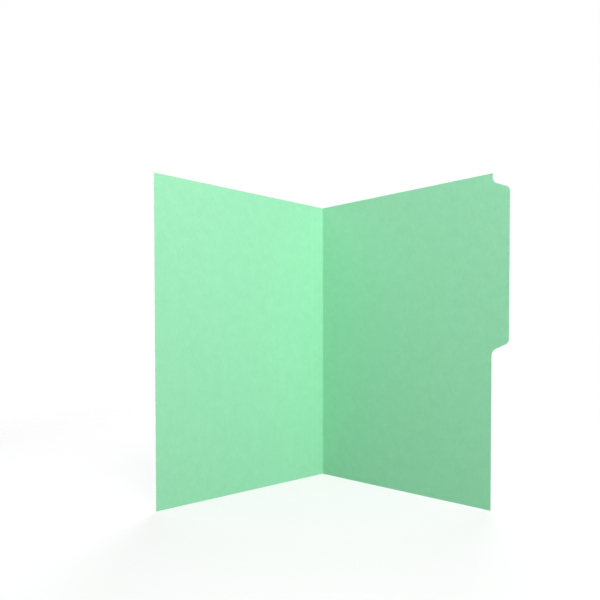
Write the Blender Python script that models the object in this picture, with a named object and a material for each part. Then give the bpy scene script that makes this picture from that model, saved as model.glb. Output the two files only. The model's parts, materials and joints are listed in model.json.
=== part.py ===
"""File folder of coloured card with a half-cut index tab, standing open on its side edges.

One scored sheet makes two leaves. The back leaf carries the index tab, and the front leaf turns on
the main crease. Further creases beside it let the front leaf square out round a thick file. Units
are metres, +Z runs up along the creases, the floor is z = 0, and the leaves open towards -Y.
"""

import math

import bpy
from mathutils import Vector

# Card sheet
FOLD_LENGTH = 0.37465  # along the creases
LEAF_HEIGHT = 0.2413  # main crease to the free edge, the same on both leaves
STOCK = 0.00028  # card thickness

# Index tab on the free edge of the back leaf
TAB_HEIGHT = 0.01905
TAB_BASE = 0.1864  # length where it leaves the leaf, before rounding
TAB_OFFSET = 0.0095  # end of the leaf to the start of that base
TAB_FLANK = math.radians(25)  # lean of both flanks from square
TAB_SHOULDER_RADIUS = 0.007
TAB_ROOT_RADIUS = 0.0075

# Creases
EXPANSION_CREASES = 2  # on the front leaf, beside the main crease
CREASE_PITCH = 0.009525  # from each crease to the next
CREASE_BEAD = 0.00028  # diameter of the bead of crushed fibre
CREASE_CLEARANCE = 0.0003  # bead to the cut end of a panel
CLOSED_GAP = 0.0003  # between the inner faces of the closed leaves

# Pose
OPENING = math.radians(101)  # between the leaves

# Roundness
CORNER_STEPS = 8  # straight pieces in a rounded corner
BEAD_SIDES = 16
SMOOTH_ANGLE = math.radians(40)  # flatter edges than this are shaded smooth

# Finish
CARD_GREEN = (0.37, 0.80, 0.51, 1)
CREASE_GREEN = (0.33, 0.74, 0.46, 1)
CARD_ROUGHNESS = 0.6

half_opening = OPENING / 2
bead_radius = CREASE_BEAD / 2
setback = bead_radius + CREASE_CLEARANCE  # crease to the cut end of a panel
sheet_offset = CLOSED_GAP / 2 + STOCK / 2  # hinge line to the middle of the card


def clear_scene():
    """Remove every object that the scene starts with."""
    for item in list(bpy.data.objects):
        bpy.data.objects.remove(item, do_unlink=True)


def card_material(name, colour):
    """Return a matt card finish."""
    material = bpy.data.materials.new(name)
    material.use_nodes = True
    shader = material.node_tree.nodes["Principled BSDF"]
    shader.inputs["Base Color"].default_value = colour
    shader.inputs["Roughness"].default_value = CARD_ROUGHNESS
    shader.inputs["Metallic"].default_value = 0
    material.diffuse_color = colour
    return material


def hinge_line(name, collection, parent=None, location=(0, 0, 0), turn=0):
    """Return an empty that stands on a crease, turned about +Z."""
    empty = bpy.data.objects.new(name, None)
    empty.location = location
    empty.rotation_euler = (0, 0, turn)
    empty.parent = parent
    collection.objects.link(empty)
    return empty


def rounded_corner(before, corner, after, radius):
    """Return the points of an arc that rounds one corner of an outline."""
    inward = (before - corner).normalized()
    outward = (after - corner).normalized()
    half_angle = inward.angle(outward) / 2
    centre = corner + (inward + outward).normalized() * radius / math.sin(half_angle)
    first = corner + inward * radius / math.tan(half_angle) - centre
    last = corner + outward * radius / math.tan(half_angle) - centre
    start = math.atan2(first.y, first.x)
    sweep = math.remainder(math.atan2(last.y, last.x) - start, math.tau)
    angles = [start + sweep * step / CORNER_STEPS for step in range(CORNER_STEPS + 1)]
    return [centre + radius * Vector((math.cos(a), math.sin(a))) for a in angles]


def outline_points(corners):
    """Return the points of a closed outline from (x, y, corner radius) entries."""
    places = [Vector((x, y)) for x, y, _ in corners]
    points = []
    for index, (_, _, radius) in enumerate(corners):
        after = places[(index + 1) % len(places)]
        if radius > 0:
            points += rounded_corner(places[index - 1], places[index], after, radius)
        else:
            points.append(places[index])
    return points


def card_panel(name, collection, hinge, corners, offset, material):
    """Return a flat card panel on its hinge line.

    The outline's x runs away from the crease and its y runs up along it. The offset moves the
    middle of the card off the hinge line, square to the panel.
    """
    curve = bpy.data.curves.new(name, "CURVE")
    curve.dimensions = "2D"
    curve.fill_mode = "BOTH"
    curve.extrude = STOCK / 2
    points = outline_points(corners)
    spline = curve.splines.new("POLY")
    spline.points.add(len(points) - 1)
    for spot, point in zip(spline.points, points):
        spot.co = (point.x, point.y, 0, 1)
    spline.use_cyclic_u = True
    curve.materials.append(material)
    panel = bpy.data.objects.new(name, curve)
    panel.parent = hinge
    panel.location = (0, -offset, 0)
    panel.rotation_euler = (math.pi / 2, 0, 0)
    collection.objects.link(panel)
    return panel


def crease_bead(name, collection, hinge, place, material):
    """Return the round bead along a crease, at its x and y in the frame of a hinge line."""
    bpy.ops.mesh.primitive_cylinder_add(
        vertices=BEAD_SIDES, radius=bead_radius, depth=FOLD_LENGTH
    )
    bead = bpy.context.object
    bead.name = name
    bead.data.name = name
    for owner in list(bead.users_collection):
        owner.objects.unlink(bead)
    collection.objects.link(bead)
    bead.parent = hinge
    bead.location = (*place, FOLD_LENGTH / 2)
    bead.data.materials.append(material)
    bead.data.shade_smooth()
    bead.data.set_sharp_from_angle(angle=SMOOTH_ANGLE)
    return bead


def plain_corners(start, end):
    """Return the corners of a square-cut panel between two distances from its crease."""
    return [(start, 0, 0), (end, 0, 0), (end, FOLD_LENGTH, 0), (start, FOLD_LENGTH, 0)]


def tabbed_corners():
    """Return the corners of the back leaf, with the index tab on the upper half of its edge."""
    flank_run = TAB_HEIGHT * math.tan(TAB_FLANK)
    tab_edge = LEAF_HEIGHT + TAB_HEIGHT
    root_high = FOLD_LENGTH - TAB_OFFSET
    root_low = root_high - TAB_BASE
    tab = [
        (LEAF_HEIGHT, root_low, TAB_ROOT_RADIUS),
        (tab_edge, root_low + flank_run, TAB_SHOULDER_RADIUS),
        (tab_edge, root_high - flank_run, TAB_SHOULDER_RADIUS),
        (LEAF_HEIGHT, root_high, TAB_ROOT_RADIUS),
    ]
    leaf = plain_corners(setback, LEAF_HEIGHT)
    return leaf[:2] + tab + leaf[2:]


def build_folder():
    """Build the folder with the middle of its footprint on the origin."""
    folder = bpy.data.collections.new("file_folder")
    bpy.context.scene.collection.children.link(folder)
    card = card_material("card", CARD_GREEN)
    crease = card_material("crease", CREASE_GREEN)

    reach = (LEAF_HEIGHT + TAB_HEIGHT) * math.cos(half_opening)
    inner_face = CLOSED_GAP / 2 * math.sin(half_opening)
    fold_x = -TAB_HEIGHT * math.sin(half_opening) / 2
    fold_y = (reach - inner_face - bead_radius) / 2
    fold_foot = (fold_x, fold_y, 0)

    back_hinge = hinge_line("back_hinge", folder, None, fold_foot, half_opening - math.pi / 2)
    card_panel("back_leaf", folder, back_hinge, tabbed_corners(), -sheet_offset, card)
    crease_bead("main_crease", folder, back_hinge, (0, 0), crease)

    hinge = hinge_line("main_hinge", folder, back_hinge, turn=-OPENING)
    strip = plain_corners(setback, CREASE_PITCH - setback)
    for number in range(1, EXPANSION_CREASES + 1):
        card_panel(f"expansion_strip_{number}", folder, hinge, strip, sheet_offset, card)
        place = (CREASE_PITCH, -sheet_offset)
        crease_bead(f"expansion_crease_{number}", folder, hinge, place, crease)
        hinge = hinge_line(f"expansion_hinge_{number}", folder, hinge, (CREASE_PITCH, 0, 0))

    leaf = plain_corners(setback, LEAF_HEIGHT - EXPANSION_CREASES * CREASE_PITCH)
    card_panel("front_leaf", folder, hinge, leaf, sheet_offset, card)


clear_scene()
build_folder()
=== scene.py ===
"""Looks of the file folder: its scored card sheet, the creases and the finish of the card.

Every piece starts as a flat blank. On a blank, x runs across the sheet from the main crease, with
the back leaf on the plus side, y runs up along the creases, and z points to the inside of the
folder. A blank is cut, given its thickness, pressed where it is scored, and then folded into its
place.
"""

import json
import math

import bmesh
import bpy
from mathutils import Euler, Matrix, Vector
from mathutils.geometry import intersect_point_line


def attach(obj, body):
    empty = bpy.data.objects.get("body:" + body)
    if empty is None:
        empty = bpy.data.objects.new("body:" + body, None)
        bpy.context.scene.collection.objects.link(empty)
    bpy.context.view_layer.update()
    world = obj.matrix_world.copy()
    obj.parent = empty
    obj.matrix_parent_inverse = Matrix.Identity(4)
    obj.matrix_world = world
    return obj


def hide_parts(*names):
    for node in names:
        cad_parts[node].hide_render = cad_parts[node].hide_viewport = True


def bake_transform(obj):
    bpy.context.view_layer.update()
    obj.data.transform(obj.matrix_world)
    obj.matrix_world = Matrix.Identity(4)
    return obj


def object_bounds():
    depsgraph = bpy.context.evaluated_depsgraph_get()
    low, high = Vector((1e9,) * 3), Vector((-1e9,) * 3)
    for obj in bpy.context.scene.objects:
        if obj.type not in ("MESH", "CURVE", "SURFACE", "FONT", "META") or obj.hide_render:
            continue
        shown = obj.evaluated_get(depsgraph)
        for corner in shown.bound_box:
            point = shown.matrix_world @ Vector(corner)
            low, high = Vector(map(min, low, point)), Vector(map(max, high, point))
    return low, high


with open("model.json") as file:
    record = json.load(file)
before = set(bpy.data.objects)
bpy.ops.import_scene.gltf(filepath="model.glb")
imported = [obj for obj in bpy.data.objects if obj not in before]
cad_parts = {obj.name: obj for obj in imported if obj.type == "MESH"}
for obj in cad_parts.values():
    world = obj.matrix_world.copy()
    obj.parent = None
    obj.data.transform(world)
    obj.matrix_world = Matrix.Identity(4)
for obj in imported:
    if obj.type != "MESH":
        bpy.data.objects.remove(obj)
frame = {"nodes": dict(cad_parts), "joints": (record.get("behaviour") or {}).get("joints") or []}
cad_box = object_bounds()

# Index tab on the free edge of the back leaf
TAB_BASE = 0.1864  # length where it leaves the leaf, before rounding
TAB_OFFSET = 0.0095  # upper end of the leaf to the start of that base
TAB_FLANK = math.radians(25)  # lean of both flanks from square
TAB_SHOULDER_RADIUS = 0.007
TAB_ROOT_RADIUS = 0.0075
CORNER_STEPS = 10

# Creases
CREASE_BAND = 0.0012  # from a crease to the edge of the band that bends with it
CREASE_CUTS = 15  # lines across half a crease band
SCORE_PRESS = 0.00002  # how far a score pushes the card to the inside
SCORE_WIDTH = 0.0004
PRESS_PITCH = 0.005  # between the lines up along a crease at which its pressing varies
PRESS_WAVER = 0.2  # share by which it varies
PRESS_WAVES = ((310, 0), (733, 1), (1270, 2))  # radians to the metre, and radians at the foot

# Form of the blanks
RIM_WIDTH = 0.0015  # rubbed rim along the cut edges
FLAT_ANGLE = math.radians(1)  # lines on a flat blank that turn less than this are joined
SMOOTH_ANGLE = math.radians(40)  # flatter edges than this are shaded smooth
NEAR = 1e-5  # points closer than this lie at one place
ACROSS = (1, 0, 0)
UP = (0, 1, 0)

# Colours of the card, linear
CARD_DEEP = (0.302, 0.728, 0.440, 1)
CARD_PALE = (0.347, 0.812, 0.502, 1)
CREASE_RUB_AND_HIGHLIGHT = (0.345, 0.790, 0.492, 1)  # fibre opened by a score, and a painted highlight along the creases
RIM_RUB = (0.380, 0.815, 0.525, 1)  # fibre rubbed at the cut edges
CUT_DEEP = (0.330, 0.740, 0.460, 1)
CUT_PALE = (0.450, 0.830, 0.575, 1)

# Fibre of the card, counted to the metre
CLOUDS = 75  # patches of its cloudy formation
FIBRES = (700, 180)  # across the strands and along them
CROSS_FIBRES = (520, 150)
CROSS_TURN = math.radians(38)
SPECKS = 900
SPECK_LEVEL = (0.68, 0.74)  # noise from which a speck shows
TOOTH = 230
TOOTH_DEPTH = 0.00012
FIBRE_RELIEF = 0.35  # share of the strands in the tooth
NOISE_MEAN = 0.5
FACE_FIBRE = {"Cloud": 1.0, "Fibre": 0.6, "Speck": 0.35}  # how strongly each colours a face
CUT_FIBRE = {"Cloud": 0.6, "Fibre": 2.0, "Speck": 0.6}  # and a cut edge

# Wear, a painted crease highlight, and gloss
RIM_FADE = (0.1, 1.1)  # rim share over which the rub comes up
HELD_FIBRES = (1400, 90)  # strands to the metre that a score left whole
HELD_LEVEL = (0.3, 0.6)  # noise over which they give way
HELD_RUB_AND_HIGHLIGHT = 0.45  # rub and painted highlight that they still take
CRACKS = (1500, 300)  # fine cracks across a crease, to the metre
CRACK_DEPTH = 0.00004
GLOSS_LEVEL = (0.3, 0.7)  # noise over which the roughness changes
ROUGHNESS = (0.42, 0.52)
CUT_ROUGHNESS = (0.7, 0.85)
SPECULAR = 0.3

# Places of the colour sockets on a mix node
MIX_INPUTS = (0, 6, 7)  # share, first and second colour
MIX_RESULT = 2

# Camera, for a square picture
CAMERA_PLACE = (-0.01264, -0.62831, 0.1943)
CAMERA_PITCH = math.radians(-1.13)
CAMERA_YAW = math.radians(-0.426)
CAMERA_LENS = 30.22
CAMERA_SHIFT = (-0.0379, 0.0779)

# Studio
WHITE = (1, 1, 1, 1)
AMBIENT = 0.05
FLOOR_DROP = 0.0001
FLOOR_SIZE = 4.0
FLOOR_FADE = (0.55, 1.0)  # distance from the folder over which the floor turns into background
FLOOR_GLOW = 0.61
FLOOR_GREY = 0.32
LIGHT_DISTANCE = 1.4
LIGHT_SIZE = 1.1
LIGHTS = {  # degrees to the right of the camera, degrees of rise, watts
    "key_light": (20, 45, 18.8),
    "side_light": (40, 15, 6.3),
    "fill_light": (-70, 50, 6.1),
    "back_light": (170, 40, 24.0),
}

# What the frame gives
joints = {joint["name"]: joint for joint in frame["joints"]}
fold_foot = Vector(joints["main_fold"]["pos_m"])
opening = math.radians(-joints["main_fold"]["range_deg"][0])
half_opening = opening / 2
back_run = Vector((math.sin(half_opening), -math.cos(half_opening), 0))
back_out = Vector((math.cos(half_opening), math.sin(half_opening), 0))
front_run = Vector((-back_run.x, back_run.y, 0))
front_out = Vector((-back_out.x, back_out.y, 0))


def distances(node, direction):
    """Return how far the points of a CAD node are from the main crease along a direction."""
    return [(v.co - fold_foot).dot(direction) for v in frame["nodes"][node].data.vertices]


fold_length = cad_box[1].z - cad_box[0].z
leaf_height = max(distances("front_leaf", front_run))
tab_reach = max(distances("back_leaf", back_run))
card_inner = min(distances("back_leaf", back_out))
card_outer = max(distances("back_leaf", back_out))
stock = card_outer - card_inner
card_middle = (card_inner + card_outer) / 2
score_pitch = (Vector(joints["expansion_fold_1"]["pos_m"]) - fold_foot).length

# Places across the flat sheet
half_bend = (math.pi - opening) / 2  # how far the card turns on each side of the main crease
half_arc = card_middle * half_bend
free_edge = half_arc + leaf_height
tab_edge = half_arc + tab_reach
score_lines = [-(half_arc + score_pitch * number) for number in (1, 2)]


def folded(point):
    """Return where a point of the flat sheet lies on the folder."""
    across, up, inside = point
    lift = card_middle - inside
    if across > half_arc:
        place = back_run * (across - half_arc) + back_out * lift
    elif across < -half_arc:
        place = front_run * (-across - half_arc) + front_out * lift
    else:
        turn = across / half_arc * half_bend
        place = Vector((math.sin(turn), math.cos(turn), 0)) * lift
    return fold_foot + place + Vector((0, 0, up))


def pick(piece, kind, test):
    """In edit mode, select only the points or edges of a piece whose ends all pass a test."""
    bpy.ops.mesh.select_mode(type=kind)
    bpy.ops.mesh.select_all(action="DESELECT")
    shape = bmesh.from_edit_mesh(piece.data)
    for item in shape.verts if kind == "VERT" else shape.edges:
        ends = [item] if kind == "VERT" else item.verts
        if all(test(end.co) for end in ends):
            item.select_set(True)
    shape.select_flush_mode()
    bmesh.update_edit_mesh(piece.data)


def cut_lines(places, direction):
    """In edit mode, cut straight lines over the whole piece, square to a direction."""
    for place in places:
        bpy.ops.mesh.select_all(action="SELECT")
        bpy.ops.mesh.bisect(plane_co=Vector(direction) * place, plane_no=direction)


def even_places(start, end, pitch):
    """Return places between two ends, evenly spaced and about a pitch apart."""
    count = max(1, round((end - start) / pitch))
    return [start + (end - start) * step / count for step in range(1, count)]


def start_blank(name, start, end):
    """Add a flat rectangle of card between two places across the sheet, ready to edit."""
    bpy.ops.object.select_all(action="DESELECT")
    middle = ((start + end) / 2, fold_length / 2, 0)
    bpy.ops.mesh.primitive_plane_add(size=1, location=middle)
    blank = bpy.context.object
    blank.name = name
    blank.data.name = name
    bpy.ops.transform.resize(value=(end - start, fold_length, 1))
    bpy.ops.object.transform_apply(location=True, rotation=True, scale=True)
    bpy.ops.object.mode_set(mode="EDIT")
    return blank


def round_corners(blank, spots, radius, turn):
    """In edit mode, round the corners of the outline at some spots, which each turn by an angle."""
    pick(blank, "VERT", lambda co: any((co - Vector(spot)).length < NEAR for spot in spots))
    tangent = radius * math.tan(turn / 2)
    bpy.ops.mesh.bevel(offset=tangent, segments=CORNER_STEPS, affect="VERTICES")


def add_tab(blank):
    """In edit mode, draw the index tab out of the free edge of the back leaf's blank."""
    root_high = fold_length - TAB_OFFSET
    root_low = root_high - TAB_BASE
    tab_height = tab_edge - free_edge
    flank_run = tab_height * math.tan(TAB_FLANK)

    def at_base(co):
        return co.x > free_edge - NEAR and root_low - NEAR < co.y < root_high + NEAR

    cut_lines((root_low, root_high), UP)
    pick(blank, "EDGE", at_base)
    bpy.ops.mesh.extrude_region_move(TRANSFORM_OT_translate={"value": (tab_height, 0, 0)})
    bpy.ops.transform.resize(
        value=(1, 1 - 2 * flank_run / TAB_BASE, 1),
        center_override=(tab_edge, (root_low + root_high) / 2, 0),
    )
    bpy.ops.mesh.select_all(action="SELECT")
    bpy.ops.mesh.dissolve_limited(angle_limit=FLAT_ANGLE)
    turn = math.pi / 2 - TAB_FLANK
    roots = [(free_edge, root_low, 0), (free_edge, root_high, 0)]
    shoulders = [(tab_edge, root_low + flank_run, 0), (tab_edge, root_high - flank_run, 0)]
    round_corners(blank, roots, TAB_ROOT_RADIUS, turn)
    round_corners(blank, shoulders, TAB_SHOULDER_RADIUS, turn)


def free_outline(blank, seams):
    """In edit mode, return the cut edges of a blank, without those at a seam with its neighbour."""
    shape = bmesh.from_edit_mesh(blank.data)
    outline = []
    for edge in shape.edges:
        first, last = (vert.co.xy for vert in edge.verts)
        at_seam = any(abs(first.x - seam) + abs(last.x - seam) < NEAR for seam in seams)
        if edge.is_boundary and not at_seam:
            outline.append((first.copy(), last.copy()))
    return outline


def cut_rim_ends():
    """In edit mode, cut the inner side of the rubbed rim at the foot and the head of a blank."""
    cut_lines((RIM_WIDTH, fold_length - RIM_WIDTH), UP)


def cut_rim(tab):
    """In edit mode, cut the inner side of the rubbed rim all round a leaf with or without a tab.

    On a strip, the line beside the free edge of the front leaf meets nothing.
    """
    if tab:
        bpy.ops.mesh.select_all(action="SELECT")
        bpy.ops.mesh.inset(thickness=RIM_WIDTH)
    else:
        cut_lines((RIM_WIDTH - free_edge,), ACROSS)
    cut_rim_ends()


def thicken(blank, face, edge):
    """Leave edit mode and give a blank the thickness of the card, with a finish on its cut edges."""
    bpy.ops.object.mode_set(mode="OBJECT")
    blank.data.materials.append(face)
    blank.data.materials.append(edge)
    body = blank.modifiers.new("card thickness", "SOLIDIFY")
    body.thickness = stock
    body.offset = 0
    body.material_offset_rim = 1
    bpy.ops.object.modifier_apply(modifier=body.name)


def rim_share(point, outline):
    """Return 1 at the cut edges of a blank, falling to 0 at the inner side of the rubbed rim."""
    distance = RIM_WIDTH
    for first, last in outline:
        nearest, share = intersect_point_line(point, first, last)
        if share < 0 or share > 1:
            nearest = first if share < 0 else last
        distance = min(distance, (point - nearest).length)
    return 1 - distance / RIM_WIDTH


def remember_sheet(blank, outline):
    """Keep each point's place on the flat sheet and its rim share, which the finish follows."""
    places = blank.data.attributes.new("sheet", "FLOAT_VECTOR", "POINT")
    for place, vert in zip(places.data, blank.data.vertices):
        place.vector = vert.co
    rims = blank.data.attributes.new("rim", "FLOAT", "POINT")
    for rim, vert in zip(rims.data, blank.data.vertices):
        rim.value = rim_share(vert.co.xy, outline)


def press_score(blank, line):
    """Push the card to the inside along a score."""
    for vert in blank.data.vertices:
        waves = [math.sin(vert.co.y * rate + start) for rate, start in PRESS_WAVES]
        depth = SCORE_PRESS * (1 + PRESS_WAVER * sum(waves) / len(waves))
        vert.co.z += depth * math.exp(-(((vert.co.x - line) / SCORE_WIDTH) ** 2))


def fold(blank):
    """Fold a finished blank into its place on the folder."""
    for vert in blank.data.vertices:
        vert.co = folded(vert.co)
    blank.data.update()
    bpy.ops.object.shade_smooth_by_angle(angle=SMOOTH_ANGLE)


def card_sheet(name, start, end, finishes, seams, tab=False):
    """Return a folded leaf or strip of card, which meets its neighbours at the seams."""
    sheet = start_blank(name, start, end)
    if tab:
        add_tab(sheet)
    outline = free_outline(sheet, seams)
    cut_rim(tab)
    thicken(sheet, finishes["card"], finishes["cut_edge"])
    remember_sheet(sheet, outline)
    fold(sheet)
    return sheet


def crease_band(name, line, finishes):
    """Return the narrow band of card that bends with a crease, pressed along its line."""
    reach = CREASE_BAND + (half_arc if line == 0 else 0)
    start, end = line - reach, line + reach
    band = start_blank(name, start, end)
    outline = free_outline(band, (start, end))
    cut_lines(even_places(start, end, reach / CREASE_CUTS), ACROSS)
    cut_rim_ends()
    cut_lines(even_places(0, fold_length, PRESS_PITCH), UP)
    thicken(band, finishes["crease"], finishes["cut_edge"])
    remember_sheet(band, outline)
    press_score(band, line)
    fold(band)
    return band


def plug(tree, value, socket):
    """Link a socket to an input, or set a plain value on it."""
    if isinstance(value, bpy.types.NodeSocket):
        tree.links.new(value, socket)
    else:
        socket.default_value = value


def add_node(tree, kind, values=None, **settings):
    """Add a shader node with its settings, and plug values into its inputs by name."""
    node = tree.nodes.new("ShaderNode" + kind)
    for name, value in settings.items():
        setattr(node, name, value)
    for name, value in (values or {}).items():
        plug(tree, value, node.inputs[name])
    return node


def calc(tree, operation, *values):
    """Return the result of a math node."""
    node = add_node(tree, "Math", operation=operation)
    for value, socket in zip(values, node.inputs):
        plug(tree, value, socket)
    return node.outputs["Value"]


def fade(tree, value, start, end, low=0.0, high=1.0):
    """Return a smooth change from low to high as a value goes from start to end."""
    values = {"Value": value, "From Min": start, "From Max": end, "To Min": low, "To Max": high}
    return add_node(tree, "MapRange", values, interpolation_type="SMOOTHSTEP").outputs["Result"]


def noise(tree, place, per_metre, detail, rough=0.5):
    """Return noise with a number of patches to the metre."""
    values = {"Vector": place, "Scale": per_metre, "Detail": detail, "Roughness": rough}
    return add_node(tree, "TexNoise", values).outputs["Fac"]


def strands(tree, place, per_metre, turn):
    """Return noise drawn out into strands, with counts to the metre across and along them."""
    across, along = per_metre
    values = {"Vector": place, "Rotation": (0, 0, turn), "Scale": (across, along, across)}
    drawn = add_node(tree, "Mapping", values).outputs["Vector"]
    return noise(tree, drawn, 1, detail=3)


def mix_colours(tree, share, first, second):
    """Return the first colour with a share of the second."""
    node = add_node(tree, "Mix", data_type="RGBA")
    for value, place in zip((share, first, second), MIX_INPUTS):
        plug(tree, value, node.inputs[place])
    return node.outputs[MIX_RESULT]


def mix_shaders(tree, share, first, second):
    """Return the first shader with a share of the second."""
    node = add_node(tree, "MixShader", {"Fac": share})
    for shader, socket in zip((first, second), node.inputs[1:]):
        plug(tree, shader, socket)
    return node.outputs["Shader"]


def start_group(name, inputs, outputs):
    """Start a shader node group, and return it with its inside ends."""
    group = bpy.data.node_groups.new(name, "ShaderNodeTree")
    for label, kind in inputs.items():
        group.interface.new_socket(label, in_out="INPUT", socket_type="NodeSocket" + kind)
    for label, kind in outputs.items():
        group.interface.new_socket(label, in_out="OUTPUT", socket_type="NodeSocket" + kind)
    given = group.nodes.new("NodeGroupInput").outputs
    result = group.nodes.new("NodeGroupOutput").inputs
    return group, given, result


def card_fibre_group():
    """Build the fibre of the card: cloudy formation, strands, specks, tooth and gloss."""
    inputs = {"Sheet": "Vector", "Cloud": "Float", "Fibre": "Float", "Speck": "Float"}
    outputs = {"Tone": "Float", "Tooth": "Float", "Gloss": "Float"}
    group, given, result = start_group("card_fibre", inputs, outputs)
    sheet = given["Sheet"]
    cloud = noise(group, sheet, CLOUDS, detail=4, rough=0.6)
    tooth = noise(group, sheet, TOOTH, detail=5, rough=0.6)
    speck = fade(group, noise(group, sheet, SPECKS, detail=1), *SPECK_LEVEL)
    along = strands(group, sheet, FIBRES, 0)
    cross = strands(group, sheet, CROSS_FIBRES, CROSS_TURN)
    woven = calc(group, "SUBTRACT", calc(group, "ADD", along, cross), 2 * NOISE_MEAN)

    uneven = calc(group, "SUBTRACT", cloud, NOISE_MEAN)
    tone = calc(group, "MULTIPLY_ADD", uneven, given["Cloud"], NOISE_MEAN)
    tone = calc(group, "MULTIPLY_ADD", woven, given["Fibre"], tone)
    tone = calc(group, "SUBTRACT", tone, calc(group, "MULTIPLY", speck, given["Speck"]))
    relief = calc(group, "MULTIPLY_ADD", woven, FIBRE_RELIEF, tooth)
    gloss = calc(group, "MULTIPLY", calc(group, "ADD", cloud, tooth), 0.5)
    plug(group, tone, result["Tone"])
    plug(group, relief, result["Tooth"])
    plug(group, gloss, result["Gloss"])
    return group


def score_rub_and_highlight_group():
    """Build the rubbed line along a crease, partly a painted highlight, broken where the fibre held.
    """
    inputs = {"Sheet": "Vector", "Line": "Float", "Reach": "Float"}
    group, given, result = start_group("score_rub_and_highlight", inputs, {"Rub and Highlight": "Float"})
    across = add_node(group, "SeparateXYZ", {"Vector": given["Sheet"]}).outputs["X"]
    away = calc(group, "ABSOLUTE", calc(group, "SUBTRACT", across, given["Line"]))
    close = fade(group, calc(group, "DIVIDE", away, given["Reach"]), 0, 1, low=1, high=0)
    whole = strands(group, given["Sheet"], HELD_FIBRES, 0)
    opened = fade(group, whole, *HELD_LEVEL, low=HELD_RUB_AND_HIGHLIGHT, high=1)
    plug(group, calc(group, "MULTIPLY", close, opened), result["Rub and Highlight"])
    return group


def start_material(name):
    """Start a finish, and return it with its node tree and shader."""
    material = bpy.data.materials.new(name)
    material.use_nodes = True
    shader = material.node_tree.nodes["Principled BSDF"]
    shader.inputs["Specular IOR Level"].default_value = SPECULAR
    return material, material.node_tree, shader


def stored(tree, name):
    """Return the attribute node of a value that the pieces keep."""
    return add_node(tree, "Attribute", attribute_name=name).outputs


def placed_fibre(tree, groups, sheet, strengths):
    """Return the fibre of the card on the flat sheet, with the strength of each part of it."""
    values = {"Sheet": sheet, **strengths}
    return add_node(tree, "Group", values, node_tree=groups["card_fibre"]).outputs


def placed_rub_and_highlight(tree, groups, sheet, line):
    """Return the rub and painted highlight along one crease of the flat sheet."""
    values = {"Sheet": sheet, "Line": line, "Reach": CREASE_BAND}
    return add_node(tree, "Group", values, node_tree=groups["score_rub_and_highlight"]).outputs["Rub and Highlight"]


def dress(tree, shader, colour, roughness, height, depth):
    """Plug a finish into its shader, with a relief of some depth."""
    bump = add_node(tree, "Bump", {"Height": height, "Distance": depth})
    plug(tree, colour, shader.inputs["Base Color"])
    plug(tree, roughness, shader.inputs["Roughness"])
    plug(tree, bump.outputs["Normal"], shader.inputs["Normal"])


def card_finish(groups):
    """Return the finish of the card's faces, rubbed at the rim."""
    material, tree, shader = start_material("card_face")
    sheet = stored(tree, "sheet")["Vector"]
    fibre = placed_fibre(tree, groups, sheet, FACE_FIBRE)
    colour = mix_colours(tree, fibre["Tone"], CARD_DEEP, CARD_PALE)
    rim = fade(tree, stored(tree, "rim")["Fac"], *RIM_FADE)
    rim = calc(tree, "MULTIPLY", rim, fibre["Tooth"])
    colour = mix_colours(tree, rim, colour, RIM_RUB)
    roughness = fade(tree, fibre["Gloss"], *GLOSS_LEVEL, *ROUGHNESS)
    dress(tree, shader, colour, roughness, fibre["Tooth"], TOOTH_DEPTH)
    return material


def crease_finish(groups):
    """Return the finish of a crease band, with its fibre opened along the line and a painted
    highlight along it.
    """
    material, tree, shader = start_material("card_crease")
    sheet = stored(tree, "sheet")["Vector"]
    fibre = placed_fibre(tree, groups, sheet, FACE_FIBRE)
    rub_and_highlight = placed_rub_and_highlight(tree, groups, sheet, 0)
    for line in score_lines:
        rub_and_highlight = calc(tree, "MAXIMUM", rub_and_highlight, placed_rub_and_highlight(tree, groups, sheet, line))
    colour = mix_colours(tree, fibre["Tone"], CARD_DEEP, CARD_PALE)
    # Lighter along each crease: partly opened fibre, partly a painted highlight.
    colour = mix_colours(tree, rub_and_highlight, colour, CREASE_RUB_AND_HIGHLIGHT)
    roughness = fade(tree, rub_and_highlight, 0, 1, *ROUGHNESS)
    cracks = strands(tree, sheet, CRACKS, math.pi / 2)
    cracks = calc(tree, "MULTIPLY", cracks, rub_and_highlight)
    height = calc(tree, "MULTIPLY_ADD", cracks, CRACK_DEPTH / TOOTH_DEPTH, fibre["Tooth"])
    dress(tree, shader, colour, roughness, height, TOOTH_DEPTH)
    return material


def cut_edge_finish(groups):
    """Return the finish of the cut edges, where the fibre shows end on."""
    material, tree, shader = start_material("card_cut_edge")
    sheet = stored(tree, "sheet")["Vector"]
    fibre = placed_fibre(tree, groups, sheet, CUT_FIBRE)
    colour = mix_colours(tree, fibre["Tone"], CUT_DEEP, CUT_PALE)
    roughness = fade(tree, fibre["Gloss"], *GLOSS_LEVEL, *CUT_ROUGHNESS)
    dress(tree, shader, colour, roughness, fibre["Tooth"], CRACK_DEPTH)
    return material


def card_finishes():
    """Return the finishes of the folder by name."""
    groups = {"card_fibre": card_fibre_group(), "score_rub_and_highlight": score_rub_and_highlight_group()}
    return {
        "card": card_finish(groups),
        "crease": crease_finish(groups),
        "cut_edge": cut_edge_finish(groups),
    }


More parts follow.
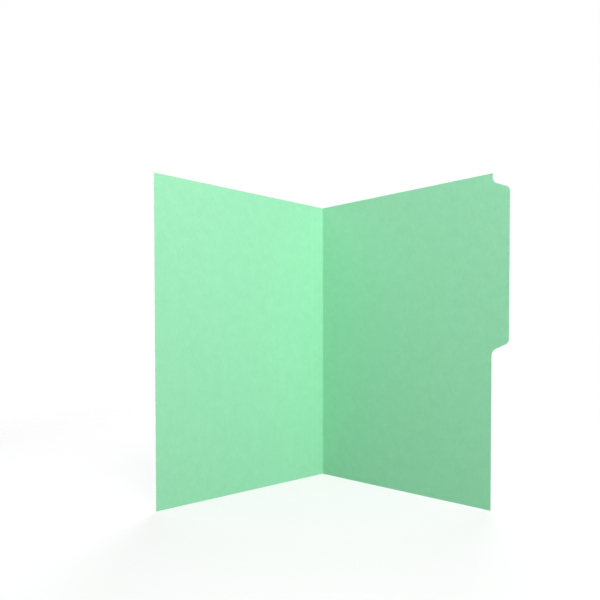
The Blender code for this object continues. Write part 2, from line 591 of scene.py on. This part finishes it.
def build_folder():
    """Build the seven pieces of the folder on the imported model."""
    finishes = card_finishes()
    seam = half_arc + CREASE_BAND

    back = card_sheet("back_sheet", seam, free_edge, finishes, (seam,), tab=True)
    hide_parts("back_leaf")
    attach(back, "back")

    main = crease_band("main_fold_band", 0, finishes)
    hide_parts("main_crease")
    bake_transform(main)

    bodies = ["strip_1", "strip_2", "front"]
    end = -seam
    for number, line in enumerate(score_lines, start=1):
        body, next_body = bodies[number - 1 : number + 1]
        start = line + CREASE_BAND
        strip = card_sheet(f"strip_sheet_{number}", start, end, finishes, (start, end))
        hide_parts(f"expansion_strip_{number}")
        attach(strip, body)

        end = line - CREASE_BAND
        score = crease_band(f"score_band_{number}", line, finishes)
        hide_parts(f"expansion_crease_{number}")
        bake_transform(score)

    front = card_sheet("front_sheet", -free_edge, end, finishes, (end,))
    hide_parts("front_leaf")
    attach(front, "front")


def seen_mask(tree):
    """Return a socket that is 1 for rays that show the background directly or by reflection."""
    path = add_node(tree, "LightPath").outputs
    mask = path["Is Camera Ray"]
    for other in ("Is Glossy Ray", "Is Transmission Ray"):
        mask = calc(tree, "MAXIMUM", mask, path[other])
    return mask


def studio_world():
    """Light the folder evenly from all round, and show plain white behind it."""
    world = bpy.data.worlds.new("studio")
    bpy.context.scene.world = world
    world.use_nodes = True
    tree = world.node_tree
    light = tree.nodes["Background"]
    light.inputs["Color"].default_value = WHITE
    light.inputs["Strength"].default_value = AMBIENT
    white = add_node(tree, "Background", {"Color": WHITE, "Strength": 1})
    shown = mix_shaders(tree, seen_mask(tree), light.outputs[0], white.outputs[0])
    plug(tree, shown, tree.nodes["World Output"].inputs["Surface"])


def floor_material():
    """Return a white floor that takes a soft shadow and fades into the background."""
    material = bpy.data.materials.new("studio_floor")
    material.use_nodes = True
    tree = material.node_tree
    tree.nodes.remove(tree.nodes["Principled BSDF"])
    ground = add_node(tree, "BsdfDiffuse", {"Color": (FLOOR_GREY, FLOOR_GREY, FLOOR_GREY, 1)})
    level = calc(tree, "MULTIPLY", seen_mask(tree), FLOOR_GLOW)
    glow = add_node(tree, "Emission", {"Strength": level})
    lit = add_node(tree, "AddShader")
    plug(tree, ground.outputs[0], lit.inputs[0])
    plug(tree, glow.outputs[0], lit.inputs[1])

    place = add_node(tree, "TexCoord").outputs["Object"]
    distance = add_node(tree, "VectorMath", {"Vector": place}, operation="LENGTH").outputs["Value"]
    clear = add_node(tree, "BsdfTransparent")
    share = fade(tree, distance, *FLOOR_FADE)
    shown = mix_shaders(tree, share, lit.outputs[0], clear.outputs[0])
    plug(tree, shown, tree.nodes["Material Output"].inputs["Surface"])
    return material


def studio_floor():
    """Lay the floor just under the folder."""
    bpy.ops.object.select_all(action="DESELECT")
    bpy.ops.mesh.primitive_plane_add(size=FLOOR_SIZE, location=(0, 0, -FLOOR_DROP))
    floor = bpy.context.object
    floor.name = "floor"
    bpy.ops.object.transform_apply(location=True, rotation=True, scale=True)
    floor.data.materials.append(floor_material())


def soft_light(name, turn, rise, power):
    """Add a square soft light that faces the folder."""
    middle = Vector((0, 0, fold_length / 2))
    level = math.cos(rise)
    away = Vector((math.sin(turn) * level, -math.cos(turn) * level, math.sin(rise)))
    light = bpy.data.lights.new(name, "AREA")
    light.size = LIGHT_SIZE
    light.energy = power
    lamp = bpy.data.objects.new(name, light)
    lamp.location = middle + away * LIGHT_DISTANCE
    lamp.rotation_euler = away.to_track_quat("Z", "Y").to_euler()
    bpy.context.scene.collection.objects.link(lamp)


def studio_lights():
    """Light the folder from the front right, with softer light from the left and from behind."""
    for name, (turn, rise, power) in LIGHTS.items():
        soft_light(name, math.radians(turn), math.radians(rise), power)


def studio_camera():
    """Stand the camera where the open folder is seen from."""
    lens = bpy.data.cameras.new("camera")
    lens.lens = CAMERA_LENS
    lens.shift_x, lens.shift_y = CAMERA_SHIFT
    camera = bpy.data.objects.new("camera", lens)
    camera.location = CAMERA_PLACE
    camera.rotation_euler = Euler((math.pi / 2 + CAMERA_PITCH, 0, CAMERA_YAW))
    bpy.context.scene.collection.objects.link(camera)
    bpy.context.scene.camera = camera


bpy.context.scene.view_settings.view_transform = "Standard"
build_folder()
studio_world()
studio_floor()
studio_lights()
studio_camera()
